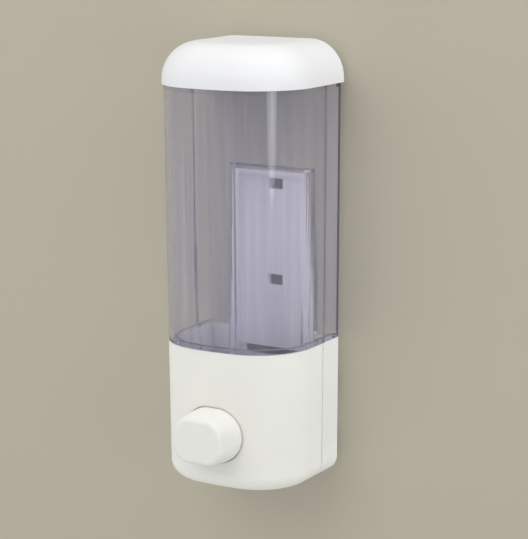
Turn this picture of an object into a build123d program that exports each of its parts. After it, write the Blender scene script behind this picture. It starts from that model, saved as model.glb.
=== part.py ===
from build123d import *
from math import atan, cos, degrees, hypot, pi, sin, sqrt
import os

# Wall mounted soap dispenser. Millimetres. X runs to the right seen from the front, Y towards the
# wall, Z up. Heights are measured from the underside of the base and distances out from the wall
# plane. The pieces are set down at the end so that the origin is the middle of the wall pad.

# Body, outside
BODY_WIDTH = 75.0
BODY_HEIGHT = 213.7
SIDE_DEPTH = 52.6
FRONT_BOW = 6.4
FRONT_CORNER_R = 28.0
WALL_GAP = 4.0
BASE_HEIGHT = 68.3
LID_HEIGHT = 20.4
SEAM_DEPTH = 15.5
SEAM_STEP = 0.5
SEAM_EDGE_R = 6.0
SEAM_EDGE_FALL = 1.2
REAR_EDGE_R = 1.2
BASE_DRAFT = 0.64
TANK_SPREAD = 1.04

# Walls and the fits between the shells
BASE_WALL = 2.1
REAR_WALL = 1.5
BASE_ROUND_R = 8.0
TANK_WALL = 2.1
TANK_REAR_WALL = 2.0
TANK_FLOOR_WALL = 2.0
TANK_LEDGE = 2.0
WELD_LINE = 0.1
SKIRT_DEPTH = 15.7
SKIRT_FIT = 0.35
LID_WALL = 1.9
LID_OVERHANG = 0.75
LID_ROUND_R = 18.0
LID_SEAT_GAP = 0.2
NECK_HEIGHT = 3.6
NECK_STEP = 1.5
NECK_WALL = 1.8

# Pocket in the back of the tank, and the wall bracket that it slides down over
POCKET_TOP = 150.1
POCKET_DEPTH = 5.0
POCKET_WALL = 1.6
POCKET_HALF_TOP = 21.6
POCKET_FLARE = 0.44
POCKET_EDGE_R = 1.2
SLOT_TAPER = 0.0225
FLANGE_OVERHANG = 1.1
LIP_WALL = 1.6
BRACKET_FIT = 0.3
BRACKET_LOW = 13.1
BRACKET_TOP_RIM = 2.0
BRACKET_WALL = 1.2
WEB_WALL = 2.0
WINDOW_X = 1.2
WINDOW_WIDTH = 8.6
WINDOW_HEIGHT = 5.4
WINDOW_HEIGHTS = (93.2, 141.5)
RELIEF_LOW = 54.7
RELIEF_HEIGHT = 4.0
SLIT_X = 17.3
SLIT_LOW = 60.7
SLIT_HEIGHT = 22.0
SLIT_WIDTH = 1.8
SCREW_HOLE_R = 2.25
SCREW_SPACING = 24.0
SCREW_HEIGHT = 33.1
PAD_HALF = 17.8
PAD_THICKNESS = 1.0
PAD_LOW = 51.1
PAD_HEIGHT = 95.0

# Push button and pump
PUMP_DROP = 21.2
STROKE = 9.0
BUTTON_REACH = 15.0
BUTTON_WIDTH = 31.0
BUTTON_HEIGHT = 26.6
BUTTON_CORNER_R = 13.0
BUTTON_TAPER = 2.2
BUTTON_FACE_CORNER_R = 8.0
BUTTON_EDGE_R = 2.4
BUTTON_WALL = 2.0
BUTTON_GAP = 0.3
BUTTON_FLANGE = 2.2
BUTTON_STOP_GAP = 0.3
BUTTON_SEAT = 3.0
BUTTON_SEAT_RIM = 1.0
STACK_OUT = 33.0
BORE_R = 7.5
PUMP_WALL = 2.0
PORT_R = 2.0
PORT_MARGIN = 1.2
PISTON_LENGTH = 4.0
ROD_R = 4.0
RUNNING_FIT = 0.08
SLIDE_FIT = 0.3
PRESS_FIT = 0.05
CAP_WALL = 2.5
CAP_SKIRT = 6.0
CAP_SKIRT_WALL = 1.35
WIPER_LENGTH = 1.35
WIPER_GAP = 1.15
SPRING_R = 8.0
SPRING_WIRE = 1.2
SPRING_TURNS = 6
SPRING_END_GAP = 0.12
WASHER_WALL = 0.8
WASHER_INSET = 1.0
BOSS_R = 6.0

# Outlet stack under the tank
DECK_WALL = 2.0
DECK_REACH = 17.0
DECK_GAP = 1.0
LEDGE_REACH = 4.0
GASKET_WALL = 2.0
SPIGOT_R = 8.0
SPIGOT_BORE_R = 6.25
SPIGOT_LENGTH = 11.5
NUT_R = 12.2
NUT_LENGTH = 5.5
NUT_SIDES = 8
O_RING_WIRE_R = 0.65
O_RING_INSET = 2.4
BALL_R = 3.0
BALL_CHAMBER_R = 3.7
BALL_FLOOR_WALL = 1.7
BALL_HOLE_R = 1.9
BALL_TRAVEL = 1.6
BALL_SLOT_WIDTH = 1.4
BALL_SLOT_LENGTH = 6.6
BALL_SLOT_DEPTH = 1.0
SEAT_R = 4.6
SEAT_LENGTH = 5.0
SEAT_HOLE_R = 2.2
FUNNEL_DEPTH = 2.0
FUNNEL_RIM = 0.6
INLET_SHORT = 0.5
OUTLET_REACH = 5.8
NOZZLE_WALL = 1.5
NOZZLE_TIP = 0.4
NOZZLE_GRIP = 3.0
NOZZLE_BORE_R = 4.0
VALVE_FLANGE = 1.2
VALVE_LENGTH = 6.0
VALVE_R = 2.8
VALVE_WALL = 0.7
VALVE_LIP = 1.8
VALVE_FLAT = 0.4
VALVE_HOLE_R = 1.8

# Screws
COVER_SCREW_INSET = 6.5
COVER_SCREW_LOW = 13.0
COVER_SCREW_DROP = 5.5
COVER_BOSS_R = 4.5
COVER_BOSS_LENGTH = 14.0
COVER_SCREW_SINK = 8.0
COVER_SCREW_LENGTH = 17.0
PUMP_SCREW_X = 17.0
PUMP_POST_R = 4.0
PUMP_EAR_WALL = 3.0
PUMP_EAR_RISE = 6.7
PUMP_SCREW_LENGTH = 10.0
SCREW_HEAD_R = 2.9
SCREW_HEAD = 2.0
SCREW_R = 1.45
SCREW_PLAY = 0.25
SCREW_TIP_GAP = 1.0
RECESS_WIDTH = 0.8
RECESS_LENGTH = 3.4
RECESS_DEPTH = 1.0

# Worked out from the sizes above
SEAM_OUT = WALL_GAP + SEAM_DEPTH
FRONT_OUT = WALL_GAP + SIDE_DEPTH + FRONT_BOW
LID_EDGE = BODY_HEIGHT - LID_HEIGHT
BASE_SLOPE = BASE_DRAFT / BASE_HEIGHT
TANK_SLOPE = TANK_SPREAD / (LID_EDGE - BASE_HEIGHT)
TANK_FLOOR = BASE_HEIGHT - SKIRT_DEPTH
TANK_FLOOR_TOP = TANK_FLOOR + TANK_FLOOR_WALL
DECK_TOP = TANK_FLOOR - GASKET_WALL
DECK_LOW = DECK_TOP - DECK_WALL
PUMP_HEIGHT = DECK_LOW - PUMP_DROP
PUMP_EAR_TOP = PUMP_HEIGHT + PUMP_EAR_RISE
COVER_SCREW_X = BODY_WIDTH / 2 - COVER_SCREW_INSET
COVER_SCREW_HEIGHTS = (COVER_SCREW_LOW, DECK_LOW - COVER_SCREW_DROP)
POCKET_OUT = WALL_GAP + POCKET_DEPTH
SLOT_FRONT_OUT = POCKET_OUT - POCKET_WALL
LIP_OUT = WALL_GAP + LIP_WALL
FLANGE_HALF_TOP = POCKET_HALF_TOP + POCKET_FLARE * POCKET_WALL - POCKET_WALL
THROAT_HALF_TOP = FLANGE_HALF_TOP - FLANGE_OVERHANG
ORIGIN_HEIGHT = PAD_LOW + PAD_HEIGHT / 2
BUTTON_OUT = FRONT_OUT + BUTTON_REACH
BUTTON_SEAT_OUT = FRONT_OUT - BASE_WALL - BUTTON_SEAT
FLANGE_OUT = BUTTON_SEAT_OUT - BUTTON_STOP_GAP
BUTTON_RIM = BUTTON_GAP + BUTTON_FLANGE
BUTTON_INNER_OUT = BUTTON_OUT - BUTTON_WALL
CYLINDER_R = BORE_R + PUMP_WALL
INLET_TOP = TANK_FLOOR - INLET_SHORT
O_RING_HEIGHT = TANK_FLOOR - SPIGOT_LENGTH + O_RING_INSET
BALL_FLOOR = PUMP_HEIGHT + CYLINDER_R + BALL_FLOOR_WALL
OUTLET_LOW = PUMP_HEIGHT - CYLINDER_R - OUTLET_REACH
BORE_END_OUT = STACK_OUT - PORT_R - PORT_MARGIN
CYLINDER_END_OUT = BORE_END_OUT - PUMP_WALL
PISTON_OUT = STACK_OUT + PORT_R + SLIDE_FIT + STROKE + PORT_MARGIN
PISTON_FRONT_OUT = PISTON_OUT + PISTON_LENGTH
CYLINDER_OUT = PISTON_FRONT_OUT + WIPER_GAP + WIPER_LENGTH
CAP_OUT = CYLINDER_OUT + CAP_WALL
CAP_R = CYLINDER_R + PRESS_FIT + CAP_SKIRT_WALL
WASHER_OUT = CAP_OUT + WASHER_WALL
NOZZLE_R = BOSS_R + PRESS_FIT + NOZZLE_WALL
NOZZLE_SHOULDER = OUTLET_LOW - VALVE_FLANGE
EXPORT_SHIFT = Pos(0, 0, -ORIGIN_HEIGHT)
REACH = 400.0
OVERCUT = 1.0
TOLERANCE = 0.01


def between(near, far):
    """Everything between two distances out from the wall."""
    return Pos(0, -(near + far) / 2, 0) * Box(REACH, far - near, REACH * 2)


def in_front_of(out):
    return between(out, out + REACH)


def disc_y(radius, near, far, x=0.0, height=PUMP_HEIGHT):
    """Round bar along Y between two distances from the wall."""
    return extrude(Plane.XZ.offset(near) * Pos(x, height) * Circle(radius), far - near)


def disc_z(radius, low, high, x=0.0, out=STACK_OUT):
    """Round bar along Z between two heights."""
    return extrude(Plane.XY.offset(low) * Pos(x, -out) * Circle(radius), high - low)


def block(half_width, near, far, low, high, x=0.0):
    return Pos(x, -(near + far) / 2, (low + high) / 2) * Box(2 * half_width, far - near, high - low)


def button_outline(grow, corner, out):
    """Rounded oblong across the button's axis at a distance from the wall, moved out by grow."""
    oblong = RectangleRounded(BUTTON_WIDTH + 2 * grow, BUTTON_HEIGHT + 2 * grow, corner)
    return Plane.XZ.offset(out) * Pos(0, PUMP_HEIGHT) * oblong


def button_form(grow, near, far):
    """Straight run of the button's outline, moved out by grow."""
    return extrude(button_outline(grow, BUTTON_CORNER_R + grow, near), far - near)


def button_crown(grow, far):
    """Part of the button outside the cover, narrowing from its near round foot to a squarer face."""
    foot = button_outline(grow, BUTTON_CORNER_R + grow, FRONT_OUT)
    face = button_outline(grow - BUTTON_TAPER, BUTTON_FACE_CORNER_R + grow, far)
    return loft([foot, face], ruled=True)


def plan(grow):
    """Plan outline of the body moved out by grow, with its sides run on through the wall plane."""
    half = BODY_WIDTH / 2 + grow
    side_end = -(WALL_GAP + SIDE_DEPTH + grow)
    tip = -(FRONT_OUT + grow)
    run_on = BODY_WIDTH / 2
    sides = Polyline((-half, side_end), (-half, run_on), (half, run_on), (half, side_end))
    bow = ThreePointArc((half, side_end), (0, tip), (-half, side_end))
    face = make_face(sides + bow)
    corners = face.vertices().sort_by(Axis.Y)[:2]
    return fillet(corners, FRONT_CORNER_R + grow)


def shell_form(grow, low, high, slope, rear_out):
    """Drafted form of the body between two heights, cut off flat at the back."""
    start = Plane.XY.offset(low) * plan(grow + slope * (low - BASE_HEIGHT))
    return extrude(start, high - low, taper=-degrees(atan(slope))) & in_front_of(rear_out)


def rounded_edges(form, height):
    """Edges of a form's flat end at a height, without the one that lies behind the wall plane."""
    ring = form.edges().filter_by_position(Axis.Z, height - TOLERANCE, height + TOLERANCE)
    return ring.sort_by(lambda edge: edge.center().Y)[:-1]


def base_form(grow, low, rear_out):
    """Form of the base from a floor height to the rim, with its lower edge rounded."""
    start = Plane.XY.offset(low) * plan(grow + BASE_SLOPE * (low - BASE_HEIGHT))
    form = extrude(start, BASE_HEIGHT - low, taper=-degrees(atan(BASE_SLOPE)))
    form = fillet(rounded_edges(form, low), BASE_ROUND_R + grow)
    return form & in_front_of(rear_out)


def lid_form(grow, low, high, rear_out):
    """Form of the lid with its big rounded shoulders, flat at the back."""
    form = extrude(Plane.XY.offset(low) * plan(TANK_SPREAD + grow), high - low)
    form = fillet(rounded_edges(form, high), LID_ROUND_R - LID_OVERHANG + grow)
    return form & in_front_of(rear_out)


def rear_edges(form):
    """Outline of a form's flat back, without its top and bottom edges."""
    back = form.faces().sort_by(Axis.Y)[-1]
    return [edge for edge in back.edges() if abs((edge % 0.5).X) < 1 - TOLERANCE]


def slot_half(half_top, height):
    return half_top + SLOT_TAPER * (POCKET_TOP - height)


def slot_face(half_top, low, high):
    wide = slot_half(half_top, low)
    narrow = slot_half(half_top, high)
    return make_face(Polyline((-wide, low), (wide, low), (narrow, high), (-narrow, high), close=True))


def slot_slab(half_top, low, high, near, far):
    """Slab between two distances from the wall, spreading downwards with the slot's taper."""
    return extrude(Plane.XZ.offset(near) * slot_face(half_top, low, high), far - near)


def slot_space(low, high):
    """Room for the bracket: a wide run for its flanges and a narrower throat at the back."""
    run = slot_slab(FLANGE_HALF_TOP, low, high, LIP_OUT, SLOT_FRONT_OUT)
    throat = slot_slab(THROAT_HALF_TOP, low, high, 0, LIP_OUT)
    return run + throat


def wall_bracket():
    """Moulded tray that stays on the wall: web, side walls and outward flanges along the rim."""
    top = POCKET_TOP - POCKET_WALL - BRACKET_FIT
    rim_out = SLOT_FRONT_OUT - BRACKET_FIT
    rim_back = LIP_OUT + BRACKET_FIT
    web_out = PAD_THICKNESS + WEB_WALL
    tray = slot_slab(THROAT_HALF_TOP - BRACKET_FIT, BRACKET_LOW, top, 0, rim_out)
    tray += slot_slab(FLANGE_HALF_TOP - BRACKET_FIT, BRACKET_LOW, top, rim_back, rim_out)
    hollow = THROAT_HALF_TOP - BRACKET_FIT - BRACKET_WALL
    cut_low = BRACKET_LOW - OVERCUT
    cut_out = web_out + OVERCUT
    tray -= slot_slab(hollow, cut_low, top - BRACKET_TOP_RIM, web_out, rim_out + OVERCUT)
    tray -= block(PAD_HALF, -OVERCUT, PAD_THICKNESS, PAD_LOW, PAD_LOW + PAD_HEIGHT)
    for height in WINDOW_HEIGHTS:
        half = WINDOW_HEIGHT / 2
        tray -= block(WINDOW_WIDTH / 2, PAD_THICKNESS, cut_out, height - half, height + half, WINDOW_X)
    tray -= slot_slab(hollow, RELIEF_LOW, RELIEF_LOW + RELIEF_HEIGHT, PAD_THICKNESS, cut_out)
    foot = (SLIT_X - SLIT_WIDTH, SLIT_LOW)
    slit = Polyline((SLIT_X, SLIT_LOW), foot, (SLIT_X, SLIT_LOW + SLIT_HEIGHT), close=True)
    tray -= extrude(Plane.XZ * make_face(slit), cut_out)
    for hole_x in (-SCREW_SPACING / 2, SCREW_SPACING / 2):
        tray -= disc_y(SCREW_HOLE_R, -OVERCUT, cut_out, hole_x, SCREW_HEIGHT)
    return tray


def adhesive_pad():
    return block(PAD_HALF, 0, PAD_THICKNESS, PAD_LOW, PAD_LOW + PAD_HEIGHT)


def clear_form():
    """Both mouldings of the tank: drafted shell, skirt in the base, neck, pocket and outlet spigot."""
    skirt = BASE_WALL + SKIRT_FIT
    skirt_rear = WALL_GAP + REAR_WALL + SKIRT_FIT
    ledge_top = BASE_HEIGHT + TANK_LEDGE
    outer = shell_form(0, BASE_HEIGHT, LID_EDGE, TANK_SLOPE, SEAM_OUT)
    rear = shell_form(-SEAM_STEP, BASE_HEIGHT, LID_EDGE, TANK_SLOPE, WALL_GAP)
    outer += fillet(rear_edges(rear), REAR_EDGE_R) & between(0, SEAM_OUT)
    neck_top = LID_EDGE + NECK_HEIGHT
    outer += shell_form(TANK_SPREAD - NECK_STEP, LID_EDGE, neck_top, 0, WALL_GAP + NECK_STEP)
    outer += shell_form(-skirt, TANK_FLOOR, BASE_HEIGHT, 0, skirt_rear)
    inner_high = LID_EDGE - TANK_LEDGE
    inner = shell_form(-TANK_WALL, ledge_top, inner_high, TANK_SLOPE, WALL_GAP + TANK_REAR_WALL)
    neck_in = NECK_STEP + NECK_WALL
    inner += shell_form(TANK_SPREAD - neck_in, inner_high, neck_top, 0, WALL_GAP + neck_in)
    skirt_in = skirt + TANK_WALL
    inner += shell_form(-skirt_in, TANK_FLOOR_TOP, ledge_top, 0, skirt_rear + TANK_REAR_WALL)
    flare = POCKET_FLARE * POCKET_DEPTH
    front = Plane.XZ.offset(POCKET_OUT) * slot_face(POCKET_HALF_TOP, TANK_FLOOR, POCKET_TOP)
    back = slot_face(POCKET_HALF_TOP + flare, TANK_FLOOR, POCKET_TOP + flare / 2)
    pocket = loft([front, Plane.XZ.offset(WALL_GAP) * back], ruled=True)
    pocket = fillet(pocket.faces().sort_by(Axis.Y)[0].edges().sort_by(Axis.Z)[1:], POCKET_EDGE_R)
    clear = outer - inner + (pocket & outer)
    clear -= slot_space(TANK_FLOOR, POCKET_TOP - POCKET_WALL)
    clear += disc_z(SPIGOT_R, TANK_FLOOR - SPIGOT_LENGTH, TANK_FLOOR)
    return clear - disc_z(SPIGOT_BORE_R, TANK_FLOOR - SPIGOT_LENGTH, TANK_FLOOR_TOP)


def tank():
    """Front moulding of the clear tank, with the outlet spigot, up to the weld line."""
    return clear_form() & in_front_of(SEAM_OUT + WELD_LINE)


def tank_back():
    """Rear moulding of the clear tank, with the pocket, welded to the front one."""
    return clear_form() & between(0, SEAM_OUT)


def lid():
    """Cap over the tank's neck, resting on the ledge round it."""
    edge = LID_EDGE + LID_SEAT_GAP
    rear_out = WALL_GAP - LID_OVERHANG
    inside = LID_OVERHANG - LID_WALL
    cap = lid_form(LID_OVERHANG, edge, BODY_HEIGHT, rear_out)
    cap = fillet(cap.faces().sort_by(Axis.Y)[-1].edges().sort_by(Axis.Z)[1:], REAR_EDGE_R)
    return cap - lid_form(inside, edge, BODY_HEIGHT - LID_WALL, rear_out + LID_WALL)


def cover_screw_places():
    return [(side * COVER_SCREW_X, height) for side in (-1, 1) for height in COVER_SCREW_HEIGHTS]


def front_cover():
    """Front shell of the base, with the button's hole and its flat seat, and the screw bosses."""
    seam_run = sqrt(SEAM_EDGE_FALL * (2 * SEAM_EDGE_R - SEAM_EDGE_FALL))
    form = base_form(0, 0, SEAM_OUT + seam_run - SEAM_EDGE_R)
    seam = form.faces().sort_by(Axis.Y)[-1].edges().sort_by(Axis.Z)[:-1]
    form = fillet(seam, SEAM_EDGE_R) & in_front_of(SEAM_OUT)
    cover = form - base_form(-BASE_WALL, BASE_WALL, 0)
    cover += button_form(BUTTON_RIM + BUTTON_SEAT_RIM, BUTTON_SEAT_OUT, FRONT_OUT) & form
    post_end = SEAM_OUT + COVER_BOSS_LENGTH
    for x, height in cover_screw_places():
        cover += disc_y(COVER_BOSS_R, SEAM_OUT, post_end, x, height) & form
        cover -= disc_y(SCREW_R + PRESS_FIT, SEAM_OUT, post_end - BASE_WALL, x, height)
    cover -= button_form(BUTTON_GAP, BUTTON_SEAT_OUT - OVERCUT, FRONT_OUT + OVERCUT)
    return cover - disc_z(NOZZLE_R + BUTTON_GAP, -OVERCUT, BASE_WALL + OVERCUT)


def rear_frame():
    """Rear shell of the base: open slot for the bracket, screw posts, and ledges that carry the deck."""
    form = base_form(-SEAM_STEP, 0, WALL_GAP)
    form = fillet(rear_edges(form), REAR_EDGE_R) & between(0, SEAM_OUT)
    room = base_form(-BASE_WALL, BASE_WALL, WALL_GAP + REAR_WALL)
    frame = form - room
    ledges = block(BODY_WIDTH, WALL_GAP, SEAM_OUT, DECK_LOW - DECK_WALL, DECK_LOW)
    ledges -= block(BODY_WIDTH / 2 - BASE_WALL - LEDGE_REACH, 0, REACH, 0, BODY_HEIGHT)
    frame += ledges & form
    frame += slot_slab(FLANGE_HALF_TOP + POCKET_WALL, 0, DECK_TOP, WALL_GAP, POCKET_OUT)
    for x, height in cover_screw_places():
        frame += disc_y(COVER_BOSS_R, WALL_GAP, SEAM_OUT, x, height) & form
        frame -= disc_y(SCREW_HEAD_R + SCREW_PLAY, 0, WALL_GAP + COVER_SCREW_SINK, x, height)
        frame -= disc_y(SCREW_R + SCREW_PLAY, 0, SEAM_OUT, x, height)
    return frame - slot_space(-OVERCUT, BASE_HEIGHT)


def pump_deck():
    """Plate across the base, clamped under the tank, with two posts that the pump hangs from."""
    deck = block(BODY_WIDTH, POCKET_OUT + DECK_GAP, STACK_OUT + DECK_REACH, DECK_LOW, DECK_TOP)
    deck &= base_form(-BASE_WALL - DECK_GAP, BASE_WALL, 0)
    pilot_top = PUMP_EAR_TOP + PUMP_SCREW_LENGTH
    for x in (-PUMP_SCREW_X, PUMP_SCREW_X):
        deck += disc_z(PUMP_POST_R, PUMP_EAR_TOP, DECK_LOW, x)
        deck -= disc_z(SCREW_R + PRESS_FIT, PUMP_EAR_TOP, pilot_top, x)
    return deck - disc_z(SPIGOT_R + BUTTON_GAP, DECK_LOW, DECK_TOP)


def recess_arms():
    """Half sizes of the two arms of a cross recess."""
    half_length = RECESS_LENGTH / 2
    half_width = RECESS_WIDTH / 2
    return (half_length, half_width), (half_width, half_length)


def screw_along_y(x, height, head_out):
    """Cross recess screw driven away from the wall, its head towards the wall."""
    shank_end = head_out + SCREW_HEAD + COVER_SCREW_LENGTH
    screw = disc_y(SCREW_HEAD_R, head_out, head_out + SCREW_HEAD, x, height)
    screw += disc_y(SCREW_R, head_out, shank_end, x, height)
    for half_x, half_z in recess_arms():
        screw -= block(half_x, head_out, head_out + RECESS_DEPTH, height - half_z, height + half_z, x)
    return screw


def cover_screws():
    head_out = WALL_GAP + COVER_SCREW_SINK - SCREW_HEAD
    return Compound(children=[screw_along_y(x, height, head_out) for x, height in cover_screw_places()])


def pump_screws():
    """Two screws driven up through the pump's ears into the deck's posts."""
    head_top = PUMP_EAR_TOP - PUMP_EAR_WALL
    head_low = head_top - SCREW_HEAD
    tip = PUMP_EAR_TOP + PUMP_SCREW_LENGTH - SCREW_TIP_GAP
    recess_top = head_low + RECESS_DEPTH
    screws = []
    for x in (-PUMP_SCREW_X, PUMP_SCREW_X):
        screw = disc_z(SCREW_HEAD_R, head_low, head_top, x) + disc_z(SCREW_R, head_top, tip, x)
        for half_x, half_y in recess_arms():
            screw -= block(half_x, STACK_OUT - half_y, STACK_OUT + half_y, head_low, recess_top, x)
        screws.append(screw)
    return Compound(children=screws)


def ring_z(inner, outer, low, high):
    return disc_z(outer, low, high) - disc_z(inner, low, high)


def spigot_gasket():
    return ring_z(SPIGOT_R + SLIDE_FIT, NUT_R, DECK_TOP, TANK_FLOOR)


def spigot_nut():
    """Eight sided nut that clamps the tank's spigot to the deck."""
    low = DECK_LOW - NUT_LENGTH
    face = Plane.XY.offset(low) * Pos(0, -STACK_OUT) * RegularPolygon(NUT_R, NUT_SIDES)
    return extrude(face, NUT_LENGTH) - disc_z(SPIGOT_R + PRESS_FIT, low, DECK_LOW)


def pump_body():
    """Pump cylinder with its inlet boss, outlet boss and two screw ears."""
    body = disc_y(CYLINDER_R, CYLINDER_END_OUT, CYLINDER_OUT)
    body += disc_z(BOSS_R, PUMP_HEIGHT, INLET_TOP) + disc_z(BOSS_R, OUTLET_LOW, PUMP_HEIGHT)
    ear_low = PUMP_EAR_TOP - PUMP_EAR_WALL
    ear_near = STACK_OUT - PUMP_POST_R
    ear_far = STACK_OUT + PUMP_POST_R
    body += block(PUMP_SCREW_X, ear_near, ear_far, ear_low, PUMP_EAR_TOP)
    for x in (-PUMP_SCREW_X, PUMP_SCREW_X):
        body += disc_z(PUMP_POST_R, ear_low, PUMP_EAR_TOP, x)
        body -= disc_z(SCREW_R + SCREW_PLAY, ear_low, PUMP_EAR_TOP, x)
    body -= disc_y(BORE_R, BORE_END_OUT, CYLINDER_OUT)
    body -= disc_z(PORT_R, OUTLET_LOW, PUMP_HEIGHT) + disc_z(BALL_HOLE_R, PUMP_HEIGHT, BALL_FLOOR)
    body -= disc_z(BALL_CHAMBER_R, BALL_FLOOR, seat_low())
    body -= disc_z(SEAT_R + PRESS_FIT, seat_low(), INLET_TOP)
    slot_long = BALL_SLOT_LENGTH / 2
    slot_wide = BALL_SLOT_WIDTH / 2
    slot_low = BALL_FLOOR - BALL_SLOT_DEPTH
    for half_x, half_y in ((slot_long, slot_wide), (slot_wide, slot_long)):
        body -= block(half_x, STACK_OUT - half_y, STACK_OUT + half_y, slot_low, BALL_FLOOR)
    groove = O_RING_WIRE_R + PRESS_FIT
    groove_r = SPIGOT_BORE_R - 2 * groove
    return body - ring_z(groove_r, BOSS_R + OVERCUT, O_RING_HEIGHT - groove, O_RING_HEIGHT + groove)


def ball_rest():
    """Height of the ball's middle with the ball down in its cage."""
    return BALL_FLOOR + sqrt(BALL_R**2 - BALL_HOLE_R**2) + SLIDE_FIT


def seat_low():
    """Height of the valve seat that the ball rises to."""
    return ball_rest() + BALL_TRAVEL + SLIDE_FIT + sqrt(BALL_R**2 - SEAT_HOLE_R**2)


def inlet_o_ring():
    major = SPIGOT_BORE_R - PRESS_FIT - O_RING_WIRE_R
    return Pos(0, -STACK_OUT, O_RING_HEIGHT) * Torus(major, O_RING_WIRE_R)


def inlet_seat():
    """Insert whose lower edge is the seat that the ball closes."""
    low = seat_low()
    high = low + SEAT_LENGTH
    insert = disc_z(SEAT_R, low, high) - disc_z(SEAT_HOLE_R, low, high)
    middle = high - FUNNEL_DEPTH / 2
    funnel = Pos(0, -STACK_OUT, middle) * Cone(SEAT_HOLE_R, SEAT_R - FUNNEL_RIM, FUNNEL_DEPTH)
    return insert - funnel


def inlet_ball():
    return Pos(0, -STACK_OUT, ball_rest()) * Sphere(BALL_R)


def pump_cap():
    """Guide cap over the front of the cylinder, with the running hole for the plunger."""
    cap = disc_y(CAP_R, CYLINDER_OUT - CAP_SKIRT, CAP_OUT)
    cap -= disc_y(CYLINDER_R + PRESS_FIT, CYLINDER_OUT - CAP_SKIRT, CYLINDER_OUT)
    return cap - disc_y(ROD_R + RUNNING_FIT, CYLINDER_OUT, CAP_OUT)


def rod_wiper():
    wiper = disc_y(BORE_R - PRESS_FIT, CYLINDER_OUT - WIPER_LENGTH, CYLINDER_OUT)
    return wiper - disc_y(ROD_R + RUNNING_FIT, CYLINDER_OUT - WIPER_LENGTH, CYLINDER_OUT)


def nozzle():
    """Push on nozzle under the pump, flush with the underside."""
    high = OUTLET_LOW + NOZZLE_GRIP
    body = disc_z(NOZZLE_R, NOZZLE_TIP, high)
    tip_edges = body.edges().filter_by(GeomType.CIRCLE).sort_by(Axis.Z)[0]
    body = fillet(tip_edges, NOZZLE_WALL / 2)
    body -= disc_z(BOSS_R + PRESS_FIT, NOZZLE_SHOULDER, high)
    return body - disc_z(NOZZLE_BORE_R, NOZZLE_TIP, NOZZLE_SHOULDER)


def valve_bill(radius, lip):
    """Bill that runs from a near round upper end down to a flat lip."""
    top = Pos(0, -STACK_OUT, NOZZLE_SHOULDER) * SlotOverall(2 * radius, 2 * radius - VALVE_FLAT)
    tip = Pos(0, -STACK_OUT, NOZZLE_SHOULDER - VALVE_LENGTH) * SlotOverall(2 * radius, lip)
    return loft([top, tip], ruled=True)


def outlet_valve():
    """Silicone duckbill with its flange held between the pump and the nozzle."""
    flange = disc_z(BOSS_R - PRESS_FIT, NOZZLE_SHOULDER, OUTLET_LOW)
    valve = flange + valve_bill(VALVE_R, VALVE_LIP)
    valve -= valve_bill(VALVE_R - VALVE_WALL, VALVE_LIP - 2 * VALVE_WALL)
    return valve - disc_z(VALVE_HOLE_R, NOZZLE_SHOULDER, OUTLET_LOW)


def push_button():
    """Tapered cup with a softly rounded face, a stop flange and a socket for the plunger."""
    flange_near = FLANGE_OUT - BUTTON_FLANGE
    crown = button_crown(0, BUTTON_OUT)
    crown = fillet(crown.faces().sort_by(Axis.Y)[0].edges(), BUTTON_EDGE_R)
    cup = button_form(0, FLANGE_OUT, FRONT_OUT) + crown
    cup += button_form(BUTTON_RIM, flange_near, FLANGE_OUT)
    cup -= button_form(-BUTTON_WALL, flange_near, FRONT_OUT)
    cup -= button_crown(-BUTTON_WALL, BUTTON_INNER_OUT)
    socket_near = BUTTON_INNER_OUT - socket_depth()
    cup += disc_y(ROD_R + PRESS_FIT + BUTTON_WALL, socket_near, BUTTON_INNER_OUT)
    return cup - disc_y(ROD_R + PRESS_FIT, socket_near, BUTTON_INNER_OUT)


def socket_depth():
    """Length of the button's socket, short of the guide cap at full stroke."""
    return (BUTTON_INNER_OUT - WASHER_OUT - STROKE) / 2


def plunger():
    """Rod from the button's socket to the piston, grooved for the seal."""
    rod = disc_y(ROD_R, PISTON_OUT, BUTTON_INNER_OUT)
    rod += disc_y(BORE_R - SLIDE_FIT, PISTON_OUT, PISTON_FRONT_OUT)
    near, far = seal_span()
    groove = disc_y(BORE_R, near, far) - disc_y(BORE_R - PUMP_WALL, near, far)
    return rod - groove


def seal_span():
    quarter = PISTON_LENGTH / 4
    return PISTON_OUT + quarter, PISTON_FRONT_OUT - quarter


def piston_seal():
    near, far = seal_span()
    inner = disc_y(BORE_R - PUMP_WALL + PRESS_FIT, near, far)
    return disc_y(BORE_R - RUNNING_FIT, near + PRESS_FIT, far - PRESS_FIT) - inner


def spring_washer():
    washer = disc_y(CAP_R - WASHER_INSET, CAP_OUT, WASHER_OUT)
    return washer - disc_y(ROD_R + SLIDE_FIT, CAP_OUT, WASHER_OUT)


def biarc(start, start_way, end, end_way):
    """Two arcs from start to end that leave and arrive along the given unit directions."""
    span = end - start
    lean = start_way + end_way
    bend = 2 * (1 - start_way.dot(end_way))
    along = span.dot(lean)
    reach = (sqrt(along * along + bend * span.dot(span)) - along) / bend
    middle = (start + start_way * reach + end - end_way * reach) * 0.5
    first = TangentArc(start, middle, tangent=start_way)
    second = TangentArc(middle, end, tangent=first % 1)
    return [first, second]


def least_gap(path, wire, turns):
    """Least gap between the turns of a wound wire, measured on points along its path."""
    per_turn = 24
    count = per_turn * turns
    points = [path @ (step / count) for step in range(count + 1)]
    apart = per_turn // 2
    pairs = ((here, there) for here in range(count + 1) for there in range(here + apart, count + 1))
    return min((points[here] - points[there]).length for here, there in pairs) - wire


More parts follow.
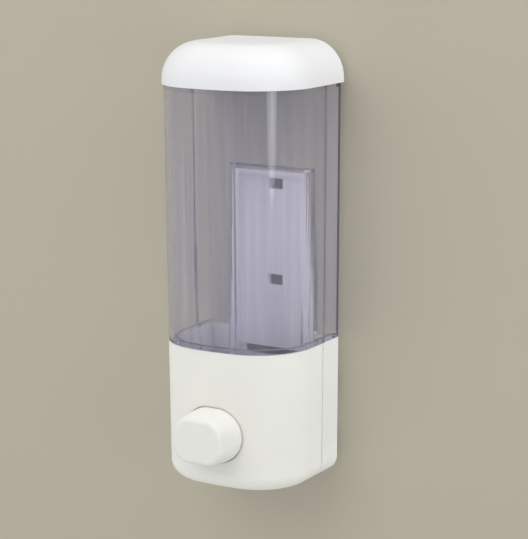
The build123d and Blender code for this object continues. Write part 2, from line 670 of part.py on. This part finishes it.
def return_spring():
    """Compression spring round the plunger: one wire wound in even turns, its ends straight."""
    near = WASHER_OUT + SPRING_WIRE / 2 + SPRING_END_GAP
    far = BUTTON_INNER_OUT - SPRING_WIRE / 2 - SPRING_END_GAP
    pitch = (far - near) / SPRING_TURNS
    steps = 4 * SPRING_TURNS

    def spot(quarter):
        turn = quarter * pi / 2
        out = near + pitch * quarter / 4
        return Vector(SPRING_R * cos(turn), -out, PUMP_HEIGHT + SPRING_R * sin(turn))

    def way(quarter):
        turn = quarter * pi / 2
        rise = pitch / (2 * pi)
        length = hypot(SPRING_R, rise)
        return Vector(-SPRING_R * sin(turn) / length, -rise / length, SPRING_R * cos(turn) / length)

    arcs = []
    for quarter in range(steps):
        arcs += biarc(spot(quarter), way(quarter), spot(quarter + 1), way(quarter + 1))
    square = Vector(1, 0, 0)
    lead_in = Line(spot(0) - way(0) * SPRING_WIRE, spot(0))
    lead_out = Line(spot(steps), spot(steps) + way(steps) * SPRING_WIRE)
    path = Wire([lead_in, *arcs, lead_out])
    section = Plane(lead_in @ 0, x_dir=square, z_dir=way(0)) * Circle(SPRING_WIRE / 2)
    print("return_spring least gap to itself", round(least_gap(path, SPRING_WIRE, SPRING_TURNS), 2))
    return sweep(section, path)


NODES = (
    wall_bracket, adhesive_pad, tank, tank_back, lid, front_cover, rear_frame, pump_deck, cover_screws,
    spigot_gasket, spigot_nut, pump_body, pump_screws, inlet_o_ring, inlet_seat, inlet_ball,
    pump_cap, rod_wiper, nozzle, outlet_valve,
    push_button, plunger, piston_seal, spring_washer, return_spring,
)

os.makedirs("parts", exist_ok=True)
for make in NODES:
    export_step(EXPORT_SHIFT * make(), f"parts/{make.__name__}.step")
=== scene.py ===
import math

import bpy
from mathutils import Matrix, Vector


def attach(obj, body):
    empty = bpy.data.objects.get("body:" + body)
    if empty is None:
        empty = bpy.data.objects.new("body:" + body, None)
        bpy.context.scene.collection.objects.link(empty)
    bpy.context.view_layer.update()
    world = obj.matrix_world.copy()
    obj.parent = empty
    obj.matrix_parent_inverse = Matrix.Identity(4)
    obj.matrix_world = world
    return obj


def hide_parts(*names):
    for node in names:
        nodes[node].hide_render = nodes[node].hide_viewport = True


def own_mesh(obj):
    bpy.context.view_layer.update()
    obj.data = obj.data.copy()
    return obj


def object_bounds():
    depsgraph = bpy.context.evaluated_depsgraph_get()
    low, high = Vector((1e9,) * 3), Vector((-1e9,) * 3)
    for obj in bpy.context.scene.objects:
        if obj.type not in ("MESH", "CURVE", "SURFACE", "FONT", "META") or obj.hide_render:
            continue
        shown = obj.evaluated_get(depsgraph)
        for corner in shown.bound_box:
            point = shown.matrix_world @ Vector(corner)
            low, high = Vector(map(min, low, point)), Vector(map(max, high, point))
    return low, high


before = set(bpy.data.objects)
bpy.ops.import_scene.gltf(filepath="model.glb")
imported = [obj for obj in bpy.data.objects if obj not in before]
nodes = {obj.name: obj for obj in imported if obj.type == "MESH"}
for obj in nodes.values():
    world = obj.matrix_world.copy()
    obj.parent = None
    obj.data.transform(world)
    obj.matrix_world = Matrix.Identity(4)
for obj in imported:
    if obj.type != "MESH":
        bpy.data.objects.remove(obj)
cad_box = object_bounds()

# Camera: a long lens to the right of the dispenser and a little above it, looking slightly down.
# Its place and turn were fitted to the edges of the body in the photograph.
CAMERA_PLACE = Vector((0.48993, -0.84326, 0.19243))
CAMERA_TURN = math.radians(30.565)
CAMERA_DIP = math.radians(11.227)
CAMERA_ROLL = math.radians(0.251)
CAMERA_LENS = 132.86
CAMERA_SENSOR = 36.0

camera_data = bpy.data.cameras.new("camera")
camera_data.lens = CAMERA_LENS
camera_data.sensor_width = CAMERA_SENSOR
camera = bpy.data.objects.new("camera", camera_data)
bpy.context.scene.collection.objects.link(camera)
camera.matrix_world = (
    Matrix.Translation(CAMERA_PLACE)
    @ Matrix.Rotation(CAMERA_TURN, 4, "Z")
    @ Matrix.Rotation(math.pi / 2 - CAMERA_DIP, 4, "X")
    @ Matrix.Rotation(-CAMERA_ROLL, 4, "Z")
)
bpy.context.scene.camera = camera
bpy.context.scene.view_settings.view_transform = "Standard"

# Room: even soft daylight on the dispenser, and beige all round for the eye and for reflections,
# duller on the side away from the wall. The two limits are the Y of a direction in the room.
BEIGE = (0.456, 0.418, 0.328, 1.0)
BEIGE_FROM = 0.25
DULL = (0.06, 0.06, 0.10, 1.0)
DULL_UP_TO = -0.35
DAYLIGHT = (0.96, 0.97, 1.0, 1.0)
DAYLIGHT_STRENGTH = 0.72
BEFORE_BOUNCE = 0.5


def link(tree, source, target):
    tree.links.new(source, target)


def add_math(tree, kind, first, second):
    """A math node of two inputs, each a socket or a number."""
    node = tree.nodes.new("ShaderNodeMath")
    node.operation = kind
    for socket, value in zip(node.inputs, (first, second)):
        if isinstance(value, float):
            socket.default_value = value
        else:
            link(tree, value, socket)
    return node.outputs[0]


def add_fade(tree, value, start, end):
    """Falls smoothly from 1 at start to 0 at end."""
    node = tree.nodes.new("ShaderNodeMapRange")
    node.interpolation_type = "SMOOTHSTEP"
    node.inputs["From Min"].default_value = start
    node.inputs["From Max"].default_value = end
    node.inputs["To Min"].default_value = 1.0
    node.inputs["To Max"].default_value = 0.0
    link(tree, value, node.inputs["Value"])
    return node.outputs["Result"]


def add_blend(tree, factor, first, second):
    """Mixes two shaders: the first where the factor is 0, the second where it is 1."""
    node = tree.nodes.new("ShaderNodeMixShader")
    link(tree, factor, node.inputs[0])
    link(tree, first, node.inputs[1])
    link(tree, second, node.inputs[2])
    return node.outputs[0]


def add_glow(tree, colour, strength=1.0):
    node = tree.nodes.new("ShaderNodeBackground")
    node.inputs["Color"].default_value = colour
    node.inputs["Strength"].default_value = strength
    return node.outputs[0]


def make_room():
    """The room's colours for the eye, and for mirrored or bent rays that haven't met a dull surface yet.
    All other rays get daylight."""
    world = bpy.data.worlds.new("room")
    bpy.context.scene.world = world
    world.use_nodes = True
    tree = world.node_tree
    way = tree.nodes.new("ShaderNodeTexCoord").outputs["Generated"]
    parts = tree.nodes.new("ShaderNodeSeparateXYZ")
    link(tree, way, parts.inputs[0])
    path = tree.nodes.new("ShaderNodeLightPath")
    unlit = add_math(tree, "LESS_THAN", path.outputs["Diffuse Depth"], BEFORE_BOUNCE)
    bent = add_math(tree, "MAXIMUM", path.outputs["Is Glossy Ray"], path.outputs["Is Transmission Ray"])
    bent = add_math(tree, "MULTIPLY", bent, unlit)
    away = add_math(tree, "MULTIPLY", add_fade(tree, parts.outputs["Y"], DULL_UP_TO, BEIGE_FROM), bent)
    seen = add_math(tree, "MAXIMUM", path.outputs["Is Camera Ray"], bent)
    room = add_blend(tree, away, add_glow(tree, BEIGE), add_glow(tree, DULL))
    light = add_blend(tree, seen, add_glow(tree, DAYLIGHT, DAYLIGHT_STRENGTH), room)
    link(tree, light, tree.nodes["World Output"].inputs["Surface"])


make_room()

# Floor and wall: plain painted surfaces that take the dispenser's soft shadow and fade out into the
# room. The wall shows only from its own front, so that the back of the dispenser stays in view.
FLOOR_DROP = 0.30
FLOOR_RADIUS = 0.9
WALL_SET_BACK = 0.0008
WALL_RADIUS = 0.55
DISC_STEPS = 96
FADE_START = 0.4
FADE_END = 0.95
PAINT = (0.462, 0.427, 0.335, 1.0)
PAINT_ROUGHNESS = 0.9


def painted_disc(name, radius, place):
    """A round sheet of paint facing +Z, moved to its place, whose edge fades out."""
    spots = [2 * math.pi * step / DISC_STEPS for step in range(DISC_STEPS)]
    mesh = bpy.data.meshes.new(name)
    rim = [(radius * math.cos(spot), radius * math.sin(spot), 0.0) for spot in spots]
    mesh.from_pydata(rim, [], [list(range(DISC_STEPS))])
    disc = bpy.data.objects.new(name, mesh)
    disc.matrix_world = place
    bpy.context.scene.collection.objects.link(disc)
    material = bpy.data.materials.new(name)
    material.use_nodes = True
    mesh.materials.append(material)
    tree = material.node_tree
    paint = tree.nodes["Principled BSDF"]
    paint.inputs["Base Color"].default_value = PAINT
    paint.inputs["Roughness"].default_value = PAINT_ROUGHNESS
    middle = tree.nodes.new("ShaderNodeVectorMath")
    middle.operation = "LENGTH"
    link(tree, tree.nodes.new("ShaderNodeTexCoord").outputs["Object"], middle.inputs[0])
    shown = add_fade(tree, middle.outputs["Value"], radius * FADE_START, radius * FADE_END)
    path = tree.nodes.new("ShaderNodeLightPath")
    hidden = tree.nodes.new("ShaderNodeNewGeometry").outputs["Backfacing"]
    for ray in ("Is Diffuse Ray", "Is Shadow Ray"):
        hidden = add_math(tree, "MAXIMUM", hidden, path.outputs[ray])
    shown = add_math(tree, "MULTIPLY", shown, add_math(tree, "SUBTRACT", 1.0, hidden))
    clear = tree.nodes.new("ShaderNodeBsdfTransparent").outputs[0]
    surface = add_blend(tree, shown, clear, paint.outputs[0])
    link(tree, surface, tree.nodes["Material Output"].inputs["Surface"])


upright = Matrix.Rotation(math.pi / 2, 4, "X")
painted_disc("floor", FLOOR_RADIUS, Matrix.Translation((0.0, 0.0, cad_box[0][2] - FLOOR_DROP)))
painted_disc("wall", WALL_RADIUS, Matrix.Translation((0.0, WALL_SET_BACK, 0.0)) @ upright)

# Lamps: broad soft boxes overhead, in front, at both sides and below, as in a light tent, and a narrow
# oval one at the right that draws the upright highlight on the tank.
AIM = Vector((0.0, -0.03, 0.0))
WARM = (1.0, 0.99, 0.96)
COOL = (0.97, 0.98, 1.0)


def add_lamp(name, bearing, rise, distance, size, power, colour, mirrored=True):
    """Area lamp at a bearing to the right of straight ahead and a rise, in degrees, facing the dispenser.
    Distance and size are in metres, power in watts. One that isn't mirrored shows in no gloss."""
    turn, lift = math.radians(bearing), math.radians(rise)
    toward = Vector((math.sin(turn) * math.cos(lift), -math.cos(turn) * math.cos(lift), math.sin(lift)))
    data = bpy.data.lights.new(name, "AREA")
    data.shape = "ELLIPSE"
    data.size, data.size_y = size
    data.energy = power
    data.color = colour
    lamp = bpy.data.objects.new(name, data)
    bpy.context.scene.collection.objects.link(lamp)
    lamp.location = AIM + toward * distance
    lamp.rotation_euler = toward.to_track_quat("Z", "Y").to_euler()
    lamp.visible_glossy = mirrored


add_lamp("overhead", 40, 74, 1.2, (1.6, 1.5), 3.3, COOL)
add_lamp("front", -5, 36, 1.3, (1.2, 0.9), 3.8, WARM, mirrored=False)
add_lamp("right", 85, 34, 1.3, (0.9, 0.9), 3.8, WARM, mirrored=False)
add_lamp("left", -80, 20, 1.3, (0.9, 0.9), 2.2, WARM, mirrored=False)
add_lamp("below", -60, -40, 1.3, (0.9, 0.9), 1.5, WARM, mirrored=False)
add_lamp("oval", 56, 0.5, 1.2, (0.40, 0.36), 0.7, COOL)
add_lamp("oval_core", 56, 1.5, 1.19, (0.14, 0.28), 0.14, COOL)

# Wall bracket: a white moulded tray with a web, side walls and flanges, screwed or taped to the wall.
# It stays behind when the dispenser is lifted off. Grain is the size and depth of its mould's texture.
BRACKET_WHITE = (0.96, 0.955, 0.93)
BRACKET_ROUGHNESS = 0.5
BRACKET_GRAIN = (0.0005, 0.00006)
GRAIN_STRENGTH = 0.6
CLOUD_SIZE = 0.035
CLOUD_DARK = 0.97
CLOUD_PALE = 1.02
PATCH_SIZE = 0.006
PATCH_SMOOTHER = 0.05
PATCH_ROUGHER = 0.06
PLASTIC_IOR = 1.5
NOISE_LOW = 0.3
NOISE_HIGH = 0.7


def start_material(name):
    """A new material with its principled shader and the piece's own coordinates."""
    material = bpy.data.materials.new(name)
    material.use_nodes = True
    tree = material.node_tree
    place = tree.nodes.new("ShaderNodeTexCoord").outputs["Object"]
    return material, tree, tree.nodes["Principled BSDF"], place


def add_noise(tree, place, size, detail=2.0):
    """Noise from 0 to 1 with patches of about the given size in metres."""
    node = tree.nodes.new("ShaderNodeTexNoise")
    node.inputs["Scale"].default_value = 1.0 / size
    node.inputs["Detail"].default_value = detail
    link(tree, place, node.inputs["Vector"])
    return node.outputs[0]


def add_range(tree, value, low, high, target):
    """Spreads the middle of a noise value over a range and feeds it to a socket."""
    node = tree.nodes.new("ShaderNodeMapRange")
    node.inputs["From Min"].default_value = NOISE_LOW
    node.inputs["From Max"].default_value = NOISE_HIGH
    node.inputs["To Min"].default_value = low
    node.inputs["To Max"].default_value = high
    link(tree, value, node.inputs["Value"])
    link(tree, node.outputs["Result"], target)


def add_tones(tree, value, first, second, target):
    """Mixes two close colours by a noise value and feeds the result to a colour socket."""
    node = tree.nodes.new("ShaderNodeMix")
    node.data_type = "RGBA"
    colours = [socket for socket in node.inputs if socket.type == "RGBA"]
    colours[0].default_value = first
    colours[1].default_value = second
    link(tree, value, node.inputs["Factor"])
    result = next(socket for socket in node.outputs if socket.type == "RGBA")
    link(tree, result, target)


def add_grain(tree, shader, value, depth):
    """Raises the surface by a noise value, depth in metres."""
    node = tree.nodes.new("ShaderNodeBump")
    node.inputs["Strength"].default_value = GRAIN_STRENGTH
    node.inputs["Distance"].default_value = depth
    link(tree, value, node.inputs["Height"])
    link(tree, node.outputs["Normal"], shader.inputs["Normal"])


def tone(colour, factor):
    return (*(channel * factor for channel in colour), 1.0)


def moulded_plastic(name, colour, roughness, grain):
    """Moulded plastic: faint cloudy colour, uneven gloss and the fine grain of its mould."""
    material, tree, shader, place = start_material(name)
    grain_size, grain_depth = grain
    cloud = add_noise(tree, place, CLOUD_SIZE, 3.0)
    patches = add_noise(tree, place, PATCH_SIZE, 4.0)
    low, high = roughness - PATCH_SMOOTHER, roughness + PATCH_ROUGHER
    add_tones(tree, cloud, tone(colour, CLOUD_DARK), tone(colour, CLOUD_PALE), shader.inputs["Base Color"])
    add_range(tree, patches, low, high, shader.inputs["Roughness"])
    add_grain(tree, shader, add_noise(tree, place, grain_size), grain_depth)
    shader.inputs["IOR"].default_value = PLASTIC_IOR
    return material


def dress(names, material):
    for name in names:
        nodes[name].data.materials.clear()
        nodes[name].data.materials.append(material)


dress(["wall_bracket"], moulded_plastic("bracket_white", BRACKET_WHITE, BRACKET_ROUGHNESS, BRACKET_GRAIN))

# Adhesive pad: a strip of dark grey closed cell foam tape, cut to size and sticky on both faces. It is
# pressed into the recess in the bracket's back and sticks the bracket to the wall. Its near-black colour
# is partly painted shade: it darkens the bracket's windows in place of the shade that falls behind them.
FOAM_AND_SHADE_DARK = (0.020, 0.019, 0.024, 1.0)
FOAM_AND_SHADE_PALE = (0.050, 0.048, 0.058, 1.0)
FOAM_ROUGHNESS = 0.9
CELLS_PER_METRE = 1600.0
CELL_DEPTH = 0.0003


def foam_tape():
    material, tree, shader, place = start_material("foam_tape")
    cells = tree.nodes.new("ShaderNodeTexVoronoi")
    cells.inputs["Scale"].default_value = CELLS_PER_METRE
    link(tree, place, cells.inputs["Vector"])
    distance = cells.outputs["Distance"]
    # Painted shade: the near-black foam stands in for the shade seen through the bracket's windows.
    add_tones(tree, distance, FOAM_AND_SHADE_PALE, FOAM_AND_SHADE_DARK, shader.inputs["Base Color"])
    add_grain(tree, shader, distance, CELL_DEPTH)
    shader.inputs["Roughness"].default_value = FOAM_ROUGHNESS
    return material


dress(["adhesive_pad"], foam_tape())

# Tank: a front and a rear moulding in clear plastic with a faint violet tint, welded together along
# the line in its side walls. The long melt flow leaves faint upright waves in the walls. Lighter and
# darker upright bands in its tint are painted reflection: they stand in for streaks of the surroundings
# mirrored in the walls.
TANK_CLEAR = (0.98, 0.98, 0.985)
TANK_EDGE_TINT = (0.33, 0.30, 0.64, 1.0)
TANK_DENSITY = 68.0
TANK_IOR = 1.49
TANK_CLARITY = 0.96
TANK_SMOOTHEST = 0.03
TANK_ROUGHEST = 0.07
TANK_PATCH_SIZE = 0.004
FLOW_STRETCH = (1.0, 1.0, 0.03)
STREAK_SIZE = 0.005
STREAK_DEPTH = 0.00012
REFLECTION_BAND_FADE = (0.36, 0.64)
REFLECTION_STREAK_PALE = 1.02
REFLECTION_STREAK_DARK = 0.93


def clear_plastic():
    """Clear plastic that is streaked along its height, tints what is seen through its thickness, and lets
    the lamps' light straight through."""
    material, tree, shader, place = start_material("clear_tank")
    patches = add_noise(tree, place, TANK_PATCH_SIZE, 4.0)
    add_range(tree, patches, TANK_SMOOTHEST, TANK_ROUGHEST, shader.inputs["Roughness"])
    flow = tree.nodes.new("ShaderNodeVectorMath")
    flow.operation = "MULTIPLY"
    flow.inputs[1].default_value = FLOW_STRETCH
    link(tree, place, flow.inputs[0])
    streaks = add_noise(tree, flow.outputs[0], STREAK_SIZE, 3.0)
    # Painted reflection: upright bands of lighter and darker tint stand in for mirrored streaks of the
    # surroundings.
    reflection_bands = add_fade(tree, streaks, *REFLECTION_BAND_FADE)
    pale, dark = tone(TANK_CLEAR, REFLECTION_STREAK_PALE), tone(TANK_CLEAR, REFLECTION_STREAK_DARK)
    add_tones(tree, reflection_bands, pale, dark, shader.inputs["Base Color"])
    add_grain(tree, shader, streaks, STREAK_DEPTH)
    shader.inputs["IOR"].default_value = TANK_IOR
    shader.inputs["Transmission Weight"].default_value = TANK_CLARITY
    lamp_way = tree.nodes.new("ShaderNodeBsdfTransparent")
    lamp_way.inputs["Color"].default_value = tone(TANK_CLEAR, 1.0)
    shadow = tree.nodes.new("ShaderNodeLightPath").outputs["Is Shadow Ray"]
    out = tree.nodes["Material Output"]
    link(tree, add_blend(tree, shadow, shader.outputs[0], lamp_way.outputs[0]), out.inputs["Surface"])
    depth = tree.nodes.new("ShaderNodeVolumeAbsorption")
    depth.inputs["Color"].default_value = TANK_EDGE_TINT
    depth.inputs["Density"].default_value = TANK_DENSITY
    link(tree, depth.outputs[0], out.inputs["Volume"])
    return material


dress(["tank", "tank_back"], clear_plastic())

# White shells: lid, the two halves of the base, nozzle and button, injection moulded in white plastic
# with a satin gloss, the button smoothest. The halves are screwed together, the nozzle is pushed on and
# the lid rests on the tank. Some light spreads inside the walls of the base.
LID_WHITE = (0.81, 0.81, 0.81)
BASE_WHITE = (0.835, 0.826, 0.762)
BUTTON_WHITE = (0.808, 0.80, 0.75)
LID_ROUGHNESS = 0.36
BASE_ROUGHNESS = 0.38
BUTTON_ROUGHNESS = 0.34
SHELL_GRAIN = (0.0004, 0.00003)
MILKY_SHARE = 0.9
MILKY_REACH = 0.003
MILKY_SPREAD = (1.0, 1.0, 1.0)


def milky_plastic(name, colour, roughness, grain):
    """Moulded plastic in which a share of the light spreads a few millimetres, all colours alike."""
    material = moulded_plastic(name, colour, roughness, grain)
    sockets = material.node_tree.nodes["Principled BSDF"].inputs
    sockets["Subsurface Weight"].default_value = MILKY_SHARE
    sockets["Subsurface Radius"].default_value = MILKY_SPREAD
    sockets["Subsurface Scale"].default_value = MILKY_REACH
    return material


base_plastic = milky_plastic("white_shell", BASE_WHITE, BASE_ROUGHNESS, SHELL_GRAIN)
dress(["lid"], moulded_plastic("lid_white", LID_WHITE, LID_ROUGHNESS, SHELL_GRAIN))
dress(["front_cover", "rear_frame", "nozzle"], base_plastic)
dress(["push_button"], moulded_plastic("button_white", BUTTON_WHITE, BUTTON_ROUGHNESS, SHELL_GRAIN))

# Pump: deck, cylinder and clamp nut moulded in grey plastic, and plunger, guide cap and valve seat in
# natural white. The deck rests on ledges in the base, and the cylinder hangs from it by two screws.
PUMP_GREY = (0.40, 0.41, 0.43)
PUMP_WHITE = (0.74, 0.73, 0.69)
GREY_ROUGHNESS = 0.45
WHITE_ROUGHNESS = 0.4
GREY_GRAIN = (0.0004, 0.00004)

grey_plastic = moulded_plastic("pump_grey", PUMP_GREY, GREY_ROUGHNESS, GREY_GRAIN)
natural_plastic = moulded_plastic("pump_white", PUMP_WHITE, WHITE_ROUGHNESS, SHELL_GRAIN)
dress(["pump_deck", "pump_body", "spigot_nut"], grey_plastic)
dress(["plunger", "pump_cap", "inlet_seat"], natural_plastic)

# Seals: a gasket and a duckbill valve moulded in pale silicone, and a ring, a wiper and a piston seal
# in black rubber. Each sits in a groove or is held between its two neighbours.
SILICONE_PALE = (0.62, 0.62, 0.60)
SILICONE_ROUGHNESS = 0.45
RUBBER_BLACK = (0.025, 0.025, 0.026)
RUBBER_ROUGHNESS = 0.5
RUBBER_UNEVEN = 0.06
RUBBER_CLOUD_SIZE = 0.004
RUBBER_CLOUD_DARK = 0.92
RUBBER_CLOUD_PALE = 1.08
RUBBER_PATCH_SIZE = 0.002
RUBBER_GRAIN = (0.0003, 0.00003)


def soft_rubber(name, colour, roughness):
    material, tree, shader, place = start_material(name)
    grain_size, grain_depth = RUBBER_GRAIN
    cloud = add_noise(tree, place, RUBBER_CLOUD_SIZE, 3.0)
    patches = add_noise(tree, place, RUBBER_PATCH_SIZE, 3.0)
    dark, pale = tone(colour, RUBBER_CLOUD_DARK), tone(colour, RUBBER_CLOUD_PALE)
    low, high = roughness - RUBBER_UNEVEN, roughness + RUBBER_UNEVEN
    add_tones(tree, cloud, dark, pale, shader.inputs["Base Color"])
    add_range(tree, patches, low, high, shader.inputs["Roughness"])
    add_grain(tree, shader, add_noise(tree, place, grain_size, 1.0), grain_depth)
    return material


silicone = soft_rubber("silicone", SILICONE_PALE, SILICONE_ROUGHNESS)
black_rubber = soft_rubber("black_rubber", RUBBER_BLACK, RUBBER_ROUGHNESS)
dress(["spigot_gasket", "outlet_valve"], silicone)
dress(["inlet_o_ring", "rod_wiper", "piston_seal"], black_rubber)

# Steel: screws, ball, washer and return spring, all plain stainless with a faintly uneven gloss. Four
# screws close the base from behind, and two hold the pump under its deck.
STEEL_DULL = (0.50, 0.50, 0.49, 1.0)
STEEL_BRIGHT = (0.60, 0.60, 0.59, 1.0)
STEEL_CLOUD_SIZE = 0.003
STEEL_MARK_SIZE = 0.0006
STEEL_SMOOTHEST = 0.22
STEEL_ROUGHEST = 0.36


def plain_steel():
    material, tree, shader, place = start_material("steel")
    cloud = add_noise(tree, place, STEEL_CLOUD_SIZE, 4.0)
    marks = add_noise(tree, place, STEEL_MARK_SIZE, 3.0)
    add_tones(tree, cloud, STEEL_DULL, STEEL_BRIGHT, shader.inputs["Base Color"])
    add_range(tree, marks, STEEL_SMOOTHEST, STEEL_ROUGHEST, shader.inputs["Roughness"])
    shader.inputs["Metallic"].default_value = 1.0
    return material


dress(["cover_screws", "pump_screws", "inlet_ball", "spring_washer", "return_spring"], plain_steel())

coil_spring = bpy.data.objects.new("coil_spring", nodes["return_spring"].data.copy())
bpy.context.scene.collection.objects.link(coil_spring)
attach(coil_spring, "dispenser")
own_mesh(coil_spring)
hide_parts("return_spring")
